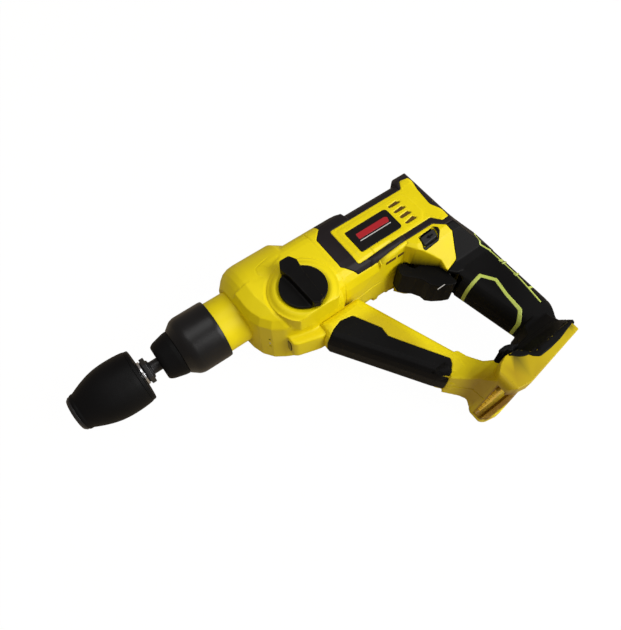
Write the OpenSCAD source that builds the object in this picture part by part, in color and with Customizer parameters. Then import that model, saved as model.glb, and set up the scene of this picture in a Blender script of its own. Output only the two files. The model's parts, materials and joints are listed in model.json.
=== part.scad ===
// Cordless rotary hammer with a keyless chuck on a shank adapter.
// Drawn in tool terms: X runs from the nose to the rear, Y is the tool's
// height, Z is its left side. X = 0 is the rear rim of the locking sleeve
// and Y = Z = 0 is the spindle's axis. place() then lays the tool down on
// its right side, the way it is put down on a bench.

/* [Overall] */
// half width of the battery foot, which is the widest part
foot_half = 38; // [36:0.5:40]
// half width of the housings beside the gears and motor
body_half = 35; // [34:0.5:36]
// wall thickness of the moulded housings
wall = 3; // [2.4:0.1:3.4]
// thickness of the soft rubber over the housings
skin = 1.6; // [1.2:0.1:2]

/* [Gear train] */
// distance from the spindle down to the intermediate shaft
inter_drop = 30; // [29:0.5:31]
// distance from the intermediate shaft up to the motor's axis
motor_rise = 17; // [16:0.5:18]
// teeth on the spindle's gear
spindle_teeth = 49; // [45:1:53]
// teeth on the pinion of the intermediate shaft
pinion_teeth = 11; // [10:1:13]
// teeth on the intermediate gear
inter_teeth = 32; // [29:1:35]
// teeth on the motor's pinion
motor_teeth = 8; // [8:1:10]
// play between the teeth, along the pitch circle
backlash = 0.2; // [0.15:0.05:0.3]

/* [Tool holder] */
// radius of the neck of the gear cover
neck_r = 21.25; // [21:0.25:21.5]
// largest radius of the locking sleeve
sleeve_r = 24; // [24:0.25:25]
// radius of the shank that goes into the holder
shank_r = 5; // [4.9:0.05:5.1]
// bore radius of the cylinder inside the spindle
cylinder_r = 11; // [10.5:0.25:11.5]
// how far the locking sleeve pulls back
sleeve_pull = 7; // [5:0.5:7]

/* [Chuck] */
// largest radius of the chuck's sleeve
chuck_r = 22; // [21.5:0.25:23]
// length of the chuck's sleeve
chuck_len = 49; // [47:0.5:51]
// radius left open between the jaws
jaw_open = 6.1; // [5.6:0.1:6.4]
// lean of the jaws towards the axis, in degrees
jaw_lean = 16; // [14:0.5:17]

/* [Handle and strut] */
// depth of the handle from front to rear
handle_depth = 42; // [40:0.5:44]
// thickness of the handle from side to side
handle_thick = 32; // [30:0.5:34]
// width of the strut in side view
strut_width = 27; // [25:0.5:28]
// thickness of the strut from side to side
strut_thick = 29; // [27:0.5:31]
// travel of the trigger
trigger_pull = 6; // [4:0.5:6]

/* [Selector knob] */
// radius of the knob's disc
knob_r = 17.8; // [16.5:0.1:18.5]
// distance of the knob's centre behind the sleeve
knob_x = 62.5; // [61:0.5:64]

/* [Fits] */
// radial play of a running fit
fit = 0.05; // [0.03:0.01:0.08]
// gap between moving pieces that don't guide each other
gap = 0.4; // [0.35:0.05:0.5]

/* [Hidden] */
$fn = 48;
eps = 0.01;

yellow = [0.87, 0.81, 0.12];
rubber = [0.11, 0.11, 0.12];
dark = [0.16, 0.16, 0.17];
lime = [0.72, 0.78, 0.32];
steel = [0.72, 0.73, 0.75];
brass = [0.75, 0.62, 0.3];
alloy = [0.62, 0.63, 0.65];
copper = [0.72, 0.42, 0.22];

inter_y = -inter_drop;
motor_y = inter_y + motor_rise;
cover_end = 92;                 // joint between gear cover and clamshells
barrel_r = body_half;           // the gear cover is round about the spindle
mid_top = 19;                   // top of the body behind the barrel
body_top = 12.5;                // top of the body over the motor
body_low = -43.5;                // underside of the body
cover_low = -49;                // underside of the gear cover
handle_rear = 218.5;
handle_front = handle_rear - handle_depth;
handle_low = -150;
foot_front = 125;
foot_rear = 198;
foot_top = -156;
foot_low = -175;
strut_a = [84, -62];            // strut's middle line, upper end
strut_b = [117, -139];          // and lower end
stator_r = 20.6;
spindle_gear_x = [35, 43];
inter_gear_x = [75.5, 81.5];
wobble_x = 59;
hub_r = 12;

// ---- the frame ----
module place() {
    translate([-51.25, 70.5, foot_half]) children();
}

// ---- helpers: the axis each shape is drawn along ----
module xcyl(x0, x1, r, fn = 48) {
    translate([x0, 0, 0]) rotate([0, 90, 0]) cylinder(h = x1 - x0, r = r, $fn = fn);
}
module xcone(x0, x1, r0, r1) {
    translate([x0, 0, 0]) rotate([0, 90, 0]) cylinder(h = x1 - x0, r1 = r0, r2 = r1);
}
module xtube(x0, x1, r0, r1) {
    difference() { xcyl(x0, x1, r1); xcyl(x0 - 1, x1 + 1, r0); }
}
module xturn(pts) { rotate([0, 90, 0]) rotate_extrude() polygon(pts); }
module xprism(x0, x1) { translate([x0, 0, 0]) rotate([90, 0, 90]) linear_extrude(x1 - x0) children(); }
module yprism(y0, y1) { translate([0, y1, 0]) rotate([90, 0, 0]) linear_extrude(y1 - y0) children(); }
module zprism(z0, z1) { translate([0, 0, z0]) linear_extrude(z1 - z0) children(); }
module at_inter() { translate([0, inter_y, 0]) children(); }
module at_motor() { translate([0, motor_y, 0]) children(); }
module left_half() { intersection() { children(); translate([-60, -200, 0]) cube([300, 260, 60]); } }
module right_half() { intersection() { children(); translate([-60, -200, -60]) cube([300, 260, 60]); } }
module rounded(r) { offset(r = r, $fn = 32) offset(delta = -r) children(); }

// ---- gears ----
function inv_deg(a) = tan(a) * 180 / PI - a;
function polar(r, a) = [r * cos(a), r * sin(a)];
// one tooth's outline, centred on angle c; rr root, ra tip, rb base circle
function tooth(c, r, rb, rr, ra, half, phi) = let(
        base = half + inv_deg(phi),
        lo = max(rb, rr),
        flank = [for (k = [0 : 3]) let(q = lo + (ra - lo) * k / 3) [q, base - inv_deg(acos(min(1, rb / q)))]])
    concat([polar(rr, c - flank[0][1])], [for (f = flank) polar(f[0], c - f[1])],
        [for (k = [3 : -1 : 0]) polar(flank[k][0], c + flank[k][1])], [polar(rr, c + flank[0][1])]);
module gear2d(n, m, add, start) {
    phi = 25;
    r = n * m / 2;
    half = (PI * m / 2 - backlash) / (2 * r) * 180 / PI;
    polygon([for (k = [0 : n - 1]) for (p = tooth(start + 360 / n * k, r, r * cos(phi), r - 1.15 * m, r + add * m, half, phi)) p]);
}
m_spindle = 2 * inter_drop / (spindle_teeth + pinion_teeth);
m_motor = 2 * motor_rise / (inter_teeth + motor_teeth);

// ---- springs: a round wire wound along X ----
function coil_ring(t, turns, len, rc, rw, n) = let(a = 360 * turns * t, x = len * t)
    [for (k = [0 : n - 1]) let(b = 360 * k / n, q = rc + rw * cos(b)) [x + rw * sin(b), q * cos(a), q * sin(a)]];
module coil(x0, len, rc, rw, turns) {
    n = 6;
    steps = round(turns * 12);
    pts = [for (s = [0 : steps]) for (p = coil_ring(s / steps, turns, len - 2 * rw, rc, rw, n)) p];
    side = [for (s = [0 : steps - 1]) for (k = [0 : n - 1]) let(a = s * n + k, b = s * n + (k + 1) % n) for (f = [[a, b, b + n], [a, b + n, a + n]]) f];
    caps = [for (k = [1 : n - 2]) for (f = [[0, k + 1, k], [steps * n, steps * n + k, steps * n + k + 1]]) f];
    translate([x0 + rw, 0, 0]) polyhedron(points = pts, faces = concat(side, caps), convexity = 6);
}

// ---- outer forms, each drawn smaller all round by i ----
module cover_profile() {
    polygon([[18, 60], [cover_end + 20, 60], [cover_end + 20, cover_low], [56, cover_low], [46, -46.5], [36, -42.5], [28, -37], [22, -29], [19, -20], [18, -12]]);
}
module cover_inner_profile() {
    polygon([[31, 60], [cover_end + 20, 60], [cover_end + 20, cover_low], [64, cover_low], [52, -45], [43, -39.5], [37, -33], [33, -24], [31, -12]]);
}
// upper part: round about the spindle, with a rounded shoulder in front
module barrel(i) {
    rotate([0, 90, 0]) rotate_extrude($fn = 96) intersection() {
        offset(delta = -i) polygon([[-40, 18], [24.3, 18], [30, 23], [32.8, 26.5], [34.5, 31], [barrel_r, 36], [barrel_r, 68], [28.5, 79], [-40, 79]]);
        square([60, 100]);
    }
}
module lower_section() {
    polygon(concat(corner([cover_low + 17, body_half - 17], 17, 90), corner([cover_low + 17, 17 - body_half], 17, 180), [[0, -body_half], [0, body_half]]));
}
// points of a corner's arc about c, a quarter turn from angle a
function corner(c, r, a) = [for (k = [0 : 6]) c + r * [cos(a + 15 * k), sin(a + 15 * k)]];
// the underside curves in gradually
belly = [[-26, body_half], [-32, body_half - 1], [-36.5, body_half - 3.5], [-40, 27], [-42.5, 20], [body_low, 11]];
module mid_section() {
    polygon(concat(corner([mid_top - 16, body_half - 16], 16, 0), [for (p = belly) p], [for (k = [5 : -1 : 0]) [belly[k][0], -belly[k][1]]],
        corner([mid_top - 16, 16 - body_half], 16, 270)));
}
module cover_form(i) {
    intersection() {
        hull() {
            zprism(-24 + i, 24 - i) offset(delta = -i) cover_profile();
            zprism(-31 + i, 31 - i) offset(delta = -i) offset(delta = -3.5) cover_profile();
            zprism(-body_half + i, body_half - i) offset(delta = -i) cover_inner_profile();
        }
        union() {
            barrel(i);
            xprism(10, 86 - i) offset(delta = -i) lower_section();
            xprism(60, cover_end + 10) offset(delta = -i) mid_section();
        }
    }
}
module body_profile() {
    rounded(3) polygon([[cover_end - 20, mid_top], [118, mid_top], [127, body_top], [181, body_top], [185, 16], [190, 19.5], [197, 20.5],
        [201, 18.5], [202.5, 13], [202, 4], [202, -30], [205, -40], [210, -48], [216, -57], [217.5, -64], [217.5, -78],
        [175, -78], [170, -73], [168.5, -64], [161.5, -57.5], [153, -50], [148, body_low + 1], [120, body_low + 1], [110, body_low], [cover_end - 20, body_low]]);
}
module body_section(top, r, w) {
    polygon(concat(corner([top - r, body_half - r], r, 0), [[-31, body_half], [-36.5, body_half - 2.5], [-40.5, body_half - 6], [-46, w], [-68, w * 0.35 + 8], [-90, 16], [-90, -16], [-68, -8 - w * 0.35], [-46, -w],
        [-40.5, 6 - body_half], [-36.5, 2.5 - body_half], [-31, -body_half]], corner([top - r, r - body_half], r, 270)));
}
module grip_section(top, r) {
    polygon(concat(corner([top - r, body_half - r], r, 0), [[-47, body_half], [-53, body_half - 2.5], [-60, body_half - 9], [-70, 17], [-90, 14], [-90, -14], [-70, -17],
        [-60, 9 - body_half], [-53, 2.5 - body_half], [-47, -body_half]], corner([top - r, r - body_half], r, 270)));
}
// plan view: the rear corners are well rounded
module body_plan() {
    rounded(8) polygon([[40, -body_half], [194, -body_half], [203, -24], [216.5, -11], [217.5, -6], [217.5, 6], [216.5, 11], [203, 24], [194, body_half], [40, body_half]]);
}
module body_form(i) {
    intersection() {
        zprism(-50, 50) offset(delta = -i) body_profile();
        union() {
            xprism(cover_end - 10, 128 - i) offset(delta = -i) mid_section();
            xprism(125, 142) offset(delta = -i) body_section(body_top, 13, 25);
            // the side stays upright behind the trigger
            hull() {
                xprism(141.9, 142) offset(delta = -i) body_section(body_top, 13, 25);
                xprism(155, 155.1) offset(delta = -i) grip_section(body_top, 13);
            }
            xprism(155, 188 - i) offset(delta = -i) grip_section(body_top, 13);
            xprism(181 + i, 225) offset(delta = -i) grip_section(20.5, 18);
        }
        yprism(-90, 60) offset(delta = -i) body_plan();
    }
}
// handle: a rounded section drawn up the tool, cut to the side view
module handle_profile() {
    f = handle_front;
    rounded(4) polygon([[f, -60], [217.5, -60], [217.5, -129], [214.5, -138], [207, -148], [199, -160], [160, -158], [160, -148], [f - 0.5, -147], [f + 6.5, -138], [f + 4.5, -128],
        [f + 1, -110], [f - 2, -97], [f - 4.5, -91], [f - 4.5, -80], [f - 0.5, -76]]);
}
module handle_form(i) {
    intersection() {
        zprism(-50, 50) offset(delta = -i) handle_profile();
        yprism(-170, -50) translate([handle_rear - 30, 0]) offset(delta = -i) rounded(13) square([60, handle_thick], center = true);
        // the rounded front leans, so the grip is slimmer lower down
        translate([handle_front - 2, -97, 0]) rotate([0, 0, 11.8]) yprism(-70, 60) translate([30, 0]) offset(delta = -i) rounded(13) square([60, handle_thick], center = true);
    }
}
// the handle widens to the foot
module flare_form(i) {
    intersection() {
        zprism(-50, 50) offset(delta = -i) rounded(3) polygon([[152, -150.5], [176, -147], [183, -140], [205, -138], [201.5, -147.5], [200.5, -154], [foot_rear, -163], [149, -163]]);
        xprism(130, 230) offset(delta = -i) polygon([[-130, -15], [-130, 15], [-143, 16], [-153, 24], [-160, foot_half - 0.8], [-172, foot_half - 0.8],
            [-172, 0.8 - foot_half], [-160, 0.8 - foot_half], [-153, -24], [-143, -16]]);
    }
}
module foot_form(i) {
    intersection() {
        zprism(-60, 60) offset(delta = -i) rounded(2.5) polygon([[foot_front, -161], [128, -157.5], [134, -153.5], [140, -151.5], [150, -153], [158, -161], [foot_rear, -158.5],
            [foot_rear, foot_low + 8], [foot_front + 15, foot_low], [foot_front + 5, foot_low + 2], [foot_front, foot_low + 5.5]]);
        yprism(-190, -120) translate([(foot_front + foot_rear) / 2, 0]) offset(delta = -i) rounded(5) square([foot_rear - foot_front, 2 * foot_half], center = true);
    }
}
// strut: a rounded bar between gear cover and foot
module strut_profile() {
    w = strut_width - 27;
    polygon([[60, -46], [60, -64], [104 - w, -131], [112, -141], [124, -148], [132, -141], [131.3, -127], [101.5 + w, -56.5], [101, -46]]);
}
module strut_form(i) {
    h = strut_thick / 2;
    hull() {
        zprism(-h * 0.35, h * 0.35) offset(delta = -i) strut_profile();
        zprism(-h * 0.72, h * 0.72) offset(delta = -i - 1.6) strut_profile();
        zprism(i * 0.9 - h * 0.92, h * 0.92 - i * 0.9) offset(delta = -i - 4) strut_profile();
        zprism(i - h, h - i) offset(delta = -i - 7.5) strut_profile();
    }
}
// the strut's lower end turns into the foot
module ankle_form(i) {
    intersection() {
        zprism(-50, 50) offset(delta = -i) rounded(3) polygon([[103, -130], [110, -138], [124, -152], [126, -168], [152, -168], [158, -151], [146, -148], [137.5, -142.5], [132, -132], [130, -124]]);
        xprism(90, 170) offset(delta = -i) polygon([[-120, -12], [-120, 12], [-135, 14], [-147, 17], [-154, 23], [-161, 34], [-170, 34], [-170, -34], [-161, -34], [-154, -23], [-147, -17], [-135, -14]]);
    }
}
module shell_form(i) {
    body_form(i);
    handle_form(i);
    flare_form(i);
    foot_form(i);
    strut_form(i);
    ankle_form(i);
}

// ---- regions of the side view that are covered in rubber ----
function unit(v) = v / norm(v);
function turned(v) = [-v[1], v[0]];
// a band of width w along the points p
function strip(p, w) = let(n = len(p),
        side = [for (k = [0 : n - 1]) let(a = turned(unit(p[min(k + 1, n - 1)] - p[min(k, n - 2)])), b = turned(unit(p[max(k, 1)] - p[max(k - 1, 0)]))) (a + b) / (1 + a * b)])
    concat([for (k = [0 : n - 1]) p[k] + side[k] * w / 2], [for (k = [n - 1 : -1 : 0]) p[k] - side[k] * w / 2]);
module panel_region() {
    rounded(2) polygon([[109, 1.5], [109, -34], [181, -34], [187, -41.5], [196, -40.5], [197, -30], [193, -16], [193, -5], [197, 4], [197, 9.5], [192.5, 13.5], [187, 10], [181, 1.5]]);
}
module band_region() {
    difference() {
        polygon([[104, 60], [104, 9], [96, 1], [96, -29], [106, -39], [178, -39.5], [186, -46], [230, -46], [230, 60]]);
        panel_region();
    }
}
module grip_region() {
    polygon([[230, -46], [186, -46], [187.3, -52.7], [181.3, -68.6], [168.2, -72.3], [150, -86], [150, -152.8], [156, -154], [159, -200], [230, -200]]);
}
module pad_region() {
    rounded(2) polygon([[40, -62], [62, -62], [68, -59], [76, -56.5], [86, -58.5], [97, -79], [96.5, -87], [108, -106], [121, -127], [119, -131], [109, -139], [90, -148], [40, -90]]);
}
rear_line = [[217, -56], [212, -59], [207, -69], [211, -79], [211.5, -92], [211, -107], [209, -121], [207, -134]];
front_line = [[170, -92.5], [176, -91.5], [187, -90], [194, -100], [191, -114], [190, -129], [184, -136], [177, -137], [170, -137]];
module accent_region() {
    polygon(strip(rear_line, 1.6));
    polygon(strip(front_line, 3));
    for (y = [-89, -105, -120]) translate([209, y - 1]) square([20, 2]);
}
module rear_region() {
    polygon([[214, -57], [212, -60], [207.8, -69], [211.8, -79], [212.3, -92], [211.8, -107], [209.8, -121], [207.6, -135], [230, -135], [230, -57]]);
}
// everything that shares the handle's rubber layer
module grip_shape(i) {
    handle_form(i);
    flare_form(i);
    intersection() {
        body_form(i);
        zprism(-60, 60) grip_region();
    }
}
module grip_skin() {
    difference() {
        intersection() {
            grip_shape(0);
            zprism(-60, 60) grip_region();
        }
        handle_form(skin);
        flare_form(skin);
        body_form(skin);
        foot_form(0);
        ankle_form(skin);
        trigger_pocket();
    }
}
module band_skin() {
    difference() {
        intersection() {
            body_form(0);
            zprism(-60, 60) band_region();
        }
        body_form(skin);
    }
}
module pad_skin() {
    difference() {
        intersection() {
            strut_form(0);
            zprism(-60, 60) pad_region();
        }
        strut_form(skin);
        ankle_form(skin);
        cover_block();
    }
}
module cover_block() {
    intersection() {
        cover_form(0);
        translate([0, -80, -60]) cube([cover_end, 160, 120]);
    }
}

// ---- housings ----
screw_spots = [[113, -38, 31], [191, 5, 33], [203.5, -60, 20], [204, -137, 15], [133, -157.3, 36], [97, -97, 13]];
boss_spots = [[-31, body_half - 11], [6, body_half - 8.5]];
module battery_slot() {
    // open underneath and in front, with a lip along each side
    translate([foot_front - 1, foot_low - 3, -26]) cube([64, 11.5, 52]);
    translate([foot_front - 1, foot_low + 6, -29.5]) cube([64, 6, 59]);
}
module shell_space() {
    difference() {
        union() {
            shell_form(wall);
            translate([0, 0, 0]) at_motor() xcyl(cover_end - 1, 172, 23.2);
        }
        // ribs that hold the motor, and the screw posts
        difference() {
            for (x = [[100, 104], [136, 140], [160, 163.9]]) translate([x[0], motor_y - 22, -40]) cube([x[1] - x[0], 60, 80]);
            at_motor() xcyl(90, 180, stator_r, 72);
        }
        for (s = screw_spots) translate([s[0], s[1], -40]) cylinder(h = 80, r = 3.8);
        translate([foot_front, foot_low, -40]) cube([67, 15, 80]);
    }
}
module shell_outer() {
    // set back by the rubber's thickness where rubber covers it
    difference() {
        shell_form(0);
        zprism(-60, 60) { band_region(); pad_region(); grip_region(); }
    }
    shell_form(skin);
    foot_form(0);
}
module shell_half() {
    difference() {
        shell_outer();
        shell_space();
        cover_block();
        translate([20, -44.5, -60]) cube([cover_end - 20, 160, 120]);
        lamp_form();
        battery_slot();
        trigger_pocket();
        lever_slot(gap);
        vent_slots();
        plates(0);
        terminal_shape();
        switch_shape();
        case_screws_shape();
        screw_holes();
    }
}
module vent_slots() {
    for (k = [0 : 3]) for (z = [-body_half - 5, body_half - 5]) translate([162, -8.6 - 6.5 * k, z]) cube([10, 2, 10]);
    for (x = [129, 141]) for (z = [-body_half - 5, body_half - 11]) translate([x, -42.3, z]) cube([10, 2, 16]);
}
module left_housing() { color(yellow) place() left_half() shell_half(); }
module right_housing() { color(yellow) place() right_half() shell_half(); }
module left_band() { color(rubber) place() left_half() band_skin(); }
module right_band() { color(rubber) place() difference() { right_half() band_skin(); screw_holes(); case_screws_shape(); } }
module screw_holes() { for (s = screw_spots) translate([s[0], s[1], -45]) cylinder(h = 45 - s[2] + 3, r = 3.5); }
module grip_cut() {
    difference() {
        grip_skin();
        accent();
        zprism(-60, 60) rear_region();
        case_screws_shape();
        screw_holes();
    }
}
module left_grip() { color(rubber) place() left_half() grip_cut(); }
module right_grip() { color(rubber) place() right_half() grip_cut(); }
module rear_pads() {
    color(dark) place() difference() {
        intersection() { grip_skin(); zprism(-60, 60) rear_region(); }
        accent();
    }
}
module accent() {
    difference() {
        intersection() { grip_skin(); zprism(-60, 60) accent_region(); }
        grip_shape(skin / 2);
    }
}
module left_accent() { color(lime) place() left_half() accent(); }
module right_accent() { color(lime) place() right_half() accent(); }
module strut_pad() {
    color(rubber) place() difference() {
        pad_skin();
        screw_holes();
    }
}
module plate_shape() { rounded(2.5) polygon([[116.5, -28.5], [156, -28.5], [156, -10], [152, -6.5], [116.5, -6.5]]); }
module plates(side) {
    if (side >= 0) zprism(body_half - 0.7, body_half + 0.2) plate_shape();
    if (side <= 0) zprism(-body_half - 0.2, 0.7 - body_half) plate_shape();
}
module left_plate() { color(dark) place() plates(1); }
module right_plate() { color(dark) place() plates(-1); }

// lamp housing under the nose
module lamp_form() {
    intersection() {
        zprism(-11, 11) rounded(1.5) polygon([[37, -38], [37, -50], [40, -52.5], [58, -58], [66, -58], [66, -38]]);
        xprism(30, 70) rounded(4) polygon([[-30, -11], [-30, 11], [-60, 11], [-60, -11]]);
    }
}
module gear_cover() {
    color(yellow) place() difference() {
        union() {
            cover_block();
            xcyl(20, 24, neck_r, 96);
            // raised seat round the knob
            intersection() {
                translate([knob_x, -28.5, 20]) cylinder(h = body_half + 1.4 - 20, r = 26.5, $fn = 96);
                translate([20, -49, 20]) cube([cover_end - 20, 60, 30]);
            }
            lamp_form();
        }
        difference() {
            union() {
                intersection() {
                    cover_form(wall);
                    translate([0, -80, -60]) cube([cover_end + 1, 160, 120]);
                }
                translate([cover_end - 8, 0, 0]) intersection() { xprism(0, 9) offset(delta = -wall) mid_section(); }
            }
            at_inter() xcyl(20, 32, 10.5);
            for (b = boss_spots) {
                for (z = [-b[1], b[1]]) translate([0, b[0], z]) xcyl(70, 84, 5.8);
                for (z = [-body_half, b[1]]) translate([70, b[0] - 3, z]) cube([14, 6, body_half - b[1]]);
            }
        }
        xcyl(-1, 30, 19, 96);
        xcyl(-1, 20, neck_r, 96);
        at_inter() xcyl(26, 33, 8);
        // seat of the knob and hole for its pin
        translate([knob_x, -28.5, 20]) cylinder(h = 20, r = 7.4);
        cover_screws_shape(0);
        lamp_shape();
        // pointer recess above the knob
        translate([58, 7, body_half - 0.8]) rotate([0, 0, 20]) rounded_block(15, 8, 5);
    }
}
// neck, pressed into the cover; the holder's sleeve slides over it
module neck_tube() { color(yellow) place() xtube(0, 20, 19, neck_r); }
module rounded_block(a, b, c) { linear_extrude(c) rounded(2) square([a, b], center = true); }
module cover_screws_shape(play) {
    for (b = boss_spots) for (z = [-b[1], b[1]]) translate([0, b[0], z]) {
        difference() { xcyl(cover_end, cover_end + 2.6, 3.2); xcyl(cover_end + 1, cover_end + 4, 1.6, 6); }
        xcyl(72, cover_end + 0.5, 1.9);
    }
}
module lamp_shape() { xprism(36.8, 39.5) translate([-45.5, 0]) rounded(1.4) square([4, 13], center = true); }
module lamp_window() { color([0.9, 0.9, 0.86]) place() lamp_shape(); }
module case_screws_shape() {
    for (s = screw_spots) translate([s[0], s[1], -s[2] + 3]) {
        difference() { translate([0, 0, -2.6]) cylinder(h = 2.6, r = 3.2); translate([0, 0, -3]) cylinder(h = 2, r = 1.6, $fn = 6); }
        cylinder(h = min(30, s[2] + 6), r = 1.7);
    }
}

module case_screws() { color(steel) place() { case_screws_shape(); cover_screws_shape(0); } }

// ---- selector knob ----
module mode_knob() {
    color(rubber) place() translate([knob_x, -28.5, body_half + 1.4]) {
        translate([0, 0, gap]) cylinder(h = 3.2, r = knob_r, $fn = 96);
        // grip bar, wide at the pointer and narrow at the tail
        translate([0, 0, gap + 3]) difference() {
            linear_extrude(6.4) rounded(2.4) polygon([for (p = [[-24, -4], [-24, 4], [-18, 7.4], [-8, 5.6], [18.5, 4.4], [20.8, 0], [18.5, -4.4], [-8, -5.6], [-18, -7.4]]) [p[1], -p[0]]]);
        }
        translate([0, 0, -12]) cylinder(h = 13, r = 7);
        translate([4, 0, -16]) cylinder(h = 5, r = 2);
    }
}
module knob_seal() {
    color(dark) place() translate([knob_x, -28.5, body_half - 4]) rotate_extrude() translate([7.2, 0]) circle(r = 0.19, $fn = 12);
}

// ---- tool holder ----
module spindle() {
    color(steel) place() difference() {
        union() {
            xcyl(-46, -31, 8.5);
            xcyl(-31.2, 3, 10);
            xcyl(2, 50.5, 14.5);
        }
        xcyl(-47, -7, shank_r + fit);
        xcyl(-8.2, 6, 6);
        xcyl(5, 52, cylinder_r);
        translate([ball_x, 0, 0]) rotate([90, 0, 0]) translate([0, 0, -20]) cylinder(h = 40, r = ball_r + fit);
    }
}
ball_x = -21;
ball_r = 3;
module dust_cap() {
    color(dark) place() xturn([[5.6, -49], [13.4, -49], [14.8, -48], [16.4, -42], [18, -36], [18.2, -34], [8.5, -34], [8.5, -46], [5.6, -46]]);
}
module locking_sleeve() {
    skirt = neck_r + 2;
    color(rubber) place() xturn([[13.5, -33.6], [18.3, -33.6], [23, -27.4], [sleeve_r, -25.6], [sleeve_r, -2], [sleeve_r - 0.3, 0], [skirt, 0], [skirt, -17], [13.5, -17]]);
}
module lock_ring() {
    slope = 0.2;
    top = 6.95 + ball_r + 0.45;
    color(steel) place() xturn([[top + slope * 9, -30], [13.5, -30], [13.5, -12], [10 + fit, -12], [10 + fit, -16], [top, -17.5], [top, -21]]);
}
module sleeve_spring() { color(steel) place() coil(-11.8, 13.6, 12, 0.7, 5); }
module ball(side) {
    color(steel) place() translate([ball_x, side * 6.95, 0]) sphere(r = ball_r, $fn = 36);
}
module lock_ball_upper() { ball(1); }
module lock_ball_lower() { ball(-1); }
module neck_bearing() { color(alloy) place() bearing(5, 15, 14.5 + fit, 19); }
module bearing(x0, x1, r0, r1) {
    // races with a shallow groove in each face
    w = (r1 - r0) * 0.28;
    difference() {
        xtube(x0, x1, r0, r1);
        for (x = [[x0 - 1, x0 + 0.6], [x1 - 0.6, x1 + 1]]) xtube(x[0], x[1], r0 + w, r1 - w);
    }
}

// ---- gear train ----
module plate_outline(x0, x1) {
    intersection() {
        cover_form(wall);
        translate([x0, -80, -60]) cube([x1 - x0, 160, 120]);
    }
}
module mid_plate() {
    color(alloy) place() difference() {
        plate_outline(46, 50);
        xcyl(40, 60, 18.5);
        at_inter() xcyl(40, 60, 7.5);
        intersection() { xcyl(40, 60, 31); translate([30, -45, 12]) cube([40, 12, 40]); }
    }
}
module spindle_rear_bearing() { color(alloy) place() bearing(46, 50, 14.5 + fit, 18.5); }
module spindle_gear() {
    color(steel) place() difference() {
        xprism(spindle_gear_x[0], spindle_gear_x[1]) gear2d(spindle_teeth, m_spindle, 0.8, 180);
        xcyl(30, 50, 14.5);
    }
}
module impact_bolt() {
    color(steel) place() union() {
        xcyl(-7.6, 5.6, 6 - fit);
        xcyl(5.4, 8, 8);
        xcyl(7.9, 9.5, 5);
    }
}
module striker() {
    color(steel) place() difference() {
        union() { xcyl(15, 23, cylinder_r - fit); xcyl(13, 15.1, 6); }
        xtube(18, 20, cylinder_r - 1, cylinder_r + 1);
    }
}
module piston() {
    color(alloy) place() difference() {
        union() {
            xcyl(31, 44, cylinder_r - fit);
            xcyl(43.9, 54, 7.5);
            xcyl(53, 66, 9.5);
        }
        translate([wobble_x - 5.2, -12, -3.4]) cube([10.4, 15.5, 6.8]);
        xtube(34, 36, cylinder_r - 1, cylinder_r + 1);
    }
}
module wobble_ring() {
    color(steel) place() union() {
        translate([wobble_x, inter_y, 0]) xturn(concat([[14.8, -4.5]], [for (k = [-4 : 4]) let(x = 4.5 * k / 4) [sqrt(pow(hub_r + 0.35, 2) - x * x), x]], [[14.8, 4.5]]));
        translate([wobble_x, inter_y + 13.8, 0]) rotate([-90, 0, 0]) cylinder(h = inter_drop - 13.8 + 1.5, r = 3, $fn = 36);
    }
}
module wobble_hub() {
    color(steel) place() difference() {
        translate([wobble_x, inter_y, 0]) xturn(concat([[0, -6]], [for (k = [-6 : 6]) [sqrt(hub_r * hub_r - k * k), k]], [[0, 6]]));
        at_inter() xcyl(40, 80, 4 + fit);
    }
}
module inter_shaft() {
    color(steel) place() at_inter() union() {
        xcyl(27, 90, 4);
        xprism(34, 44.5) gear2d(pinion_teeth, m_spindle, 0.8, 180 / pinion_teeth);
    }
}
module inter_gear() {
    color(steel) place() at_inter() difference() {
        union() {
            xprism(inter_gear_x[0], inter_gear_x[1]) gear2d(inter_teeth, m_motor, 0.7, 0);
            xcyl(inter_gear_x[0] - 4, inter_gear_x[0] + 1, 7);
        }
        xcyl(60, 90, 4);
    }
}
module inter_front_bearing() { color(alloy) place() at_inter() bearing(26, 31, 4 + fit, 8); }
module inter_rear_bearing() { color(alloy) place() at_inter() bearing(84.5, 89.5, 4 + fit, 8.5); }
module gear_plate() {
    color(alloy) place() difference() {
        plate_outline(84, cover_end);
        at_inter() xcyl(83, 89.5, 8.5);
        at_motor() xcyl(83, 93, 5.6);
        at_motor() xcyl(86, 93, 7.5);
        intersection() { at_inter() xcyl(83, 91, 6); }
        cover_screws_shape(0);
    }
}

// ---- motor ----
module rotor_shaft() {
    color(steel) place() at_motor() union() {
        xcyl(83, 168, 3);
        xprism(74, 83.1) gear2d(motor_teeth, m_motor, 0.9, 180 + 180 / motor_teeth);
    }
}
module rotor_core() {
    color(copper) place() at_motor() difference() {
        xprism(103, 143) difference() {
            circle(r = 16.6);
            for (k = [0 : 11]) rotate(30 * k) translate([11, -0.9]) square([7, 1.8]);
        }
        xcyl(100, 150, 3);
    }
}
module fan() {
    color(dark) place() at_motor() difference() {
        union() {
            xcyl(150, 151.6, 19);
            xcyl(150, 158, 6);
            for (k = [0 : 8]) rotate([40 * k, 0, 0]) translate([151.5, 5, -0.6]) cube([5.5, 13.5, 1.2]);
        }
        xcyl(140, 170, 3);
    }
}
module stator() {
    color(alloy) place() at_motor() difference() {
        xcyl(98, 149, stator_r);
        xcyl(97, 150, 17.1);
        for (a = [45 : 90 : 315]) rotate([a, 0, 0]) translate([110, 16, -3]) cube([28, 8, 6]);
    }
}
module motor_front_bearing() { color(alloy) place() at_motor() bearing(86, 91, 3 + fit, 7.5); }
module motor_rear_bearing() { color(alloy) place() at_motor() bearing(162, 167, 3 + fit, 8); }
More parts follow.
